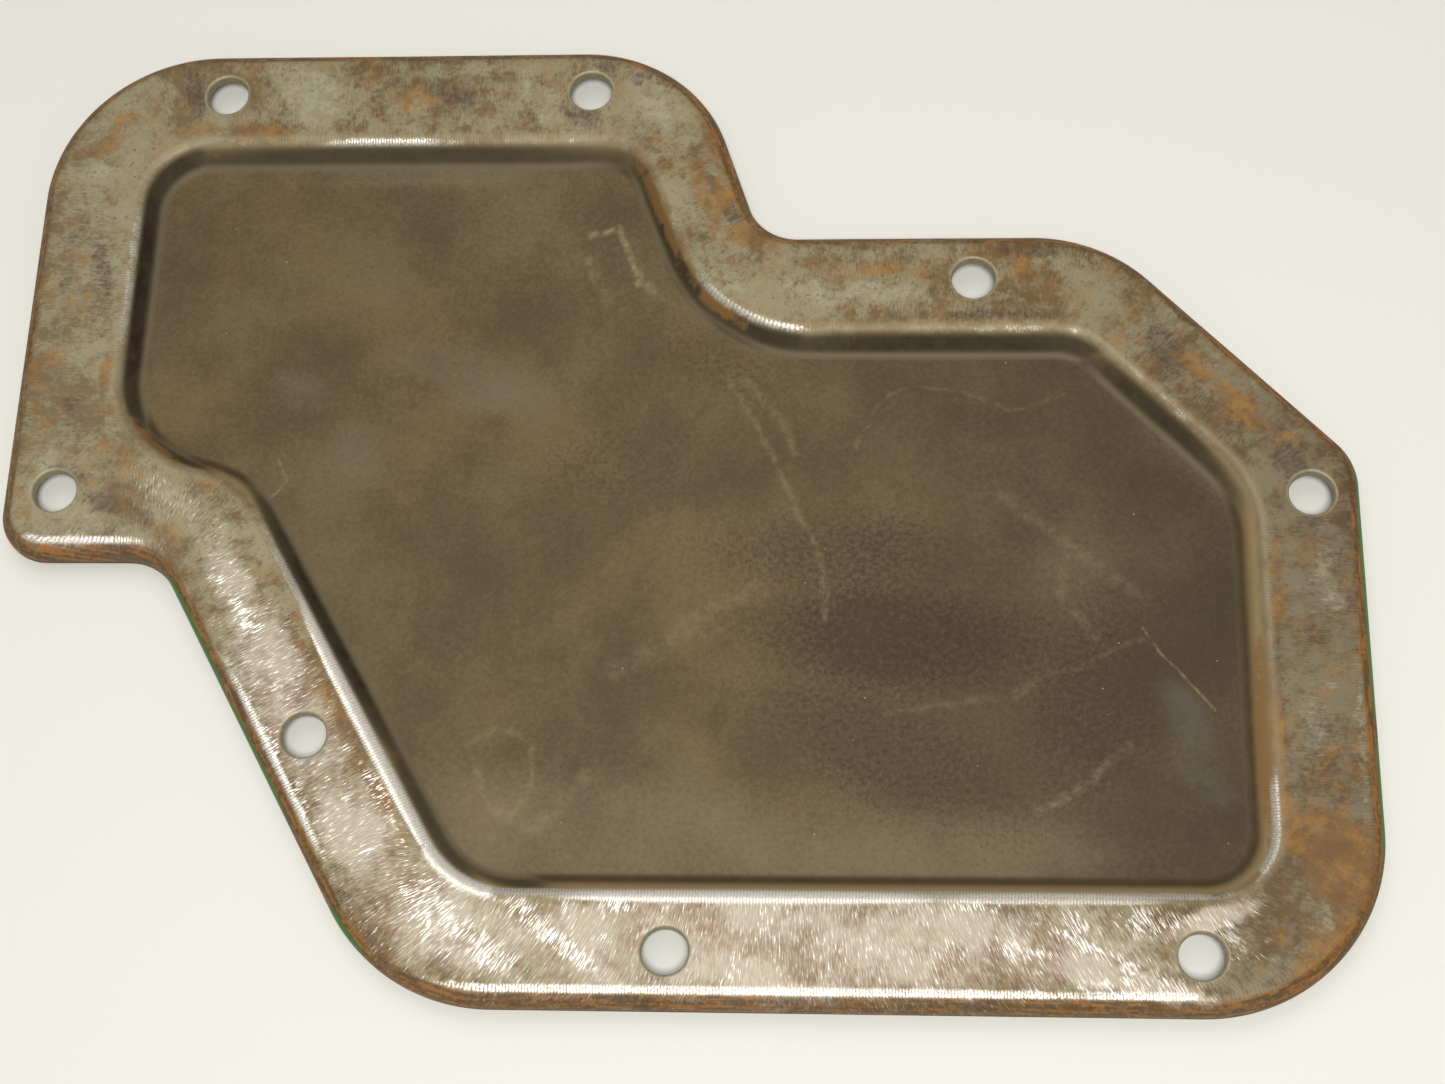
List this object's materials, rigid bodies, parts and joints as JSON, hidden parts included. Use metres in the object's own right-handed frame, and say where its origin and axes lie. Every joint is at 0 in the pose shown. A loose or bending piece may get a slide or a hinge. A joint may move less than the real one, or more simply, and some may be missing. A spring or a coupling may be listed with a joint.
{
  "type": "pressed steel housing cover",
  "caption": "Shallow pressed-steel cover pan with an angular outline, a sunken floor, a flat gasket flange with bolt holes and a turned-down rim, worn and stained with oil and rust.",
  "frame": {"origin": "on the plane the cover rests on, under the middle of its bounding box, inside the flat underside of its floor", "axes": "+Z out of the gasket face, up as it lies with its inside showing; +X along its longest side; +Y towards the narrow end of its outline"},
  "size_m": [0.317, 0.2396, 0.0085],
  "materials": {
    "pressed_steel": "worn bare steel with brown oil film, rust and gasket residue on the gasket face, and the remains of paint on the rim and the outside"
  },
  "bodies": {
    "root": {"cover_pan": "pressed_steel"}
  },
  "joints": []
}
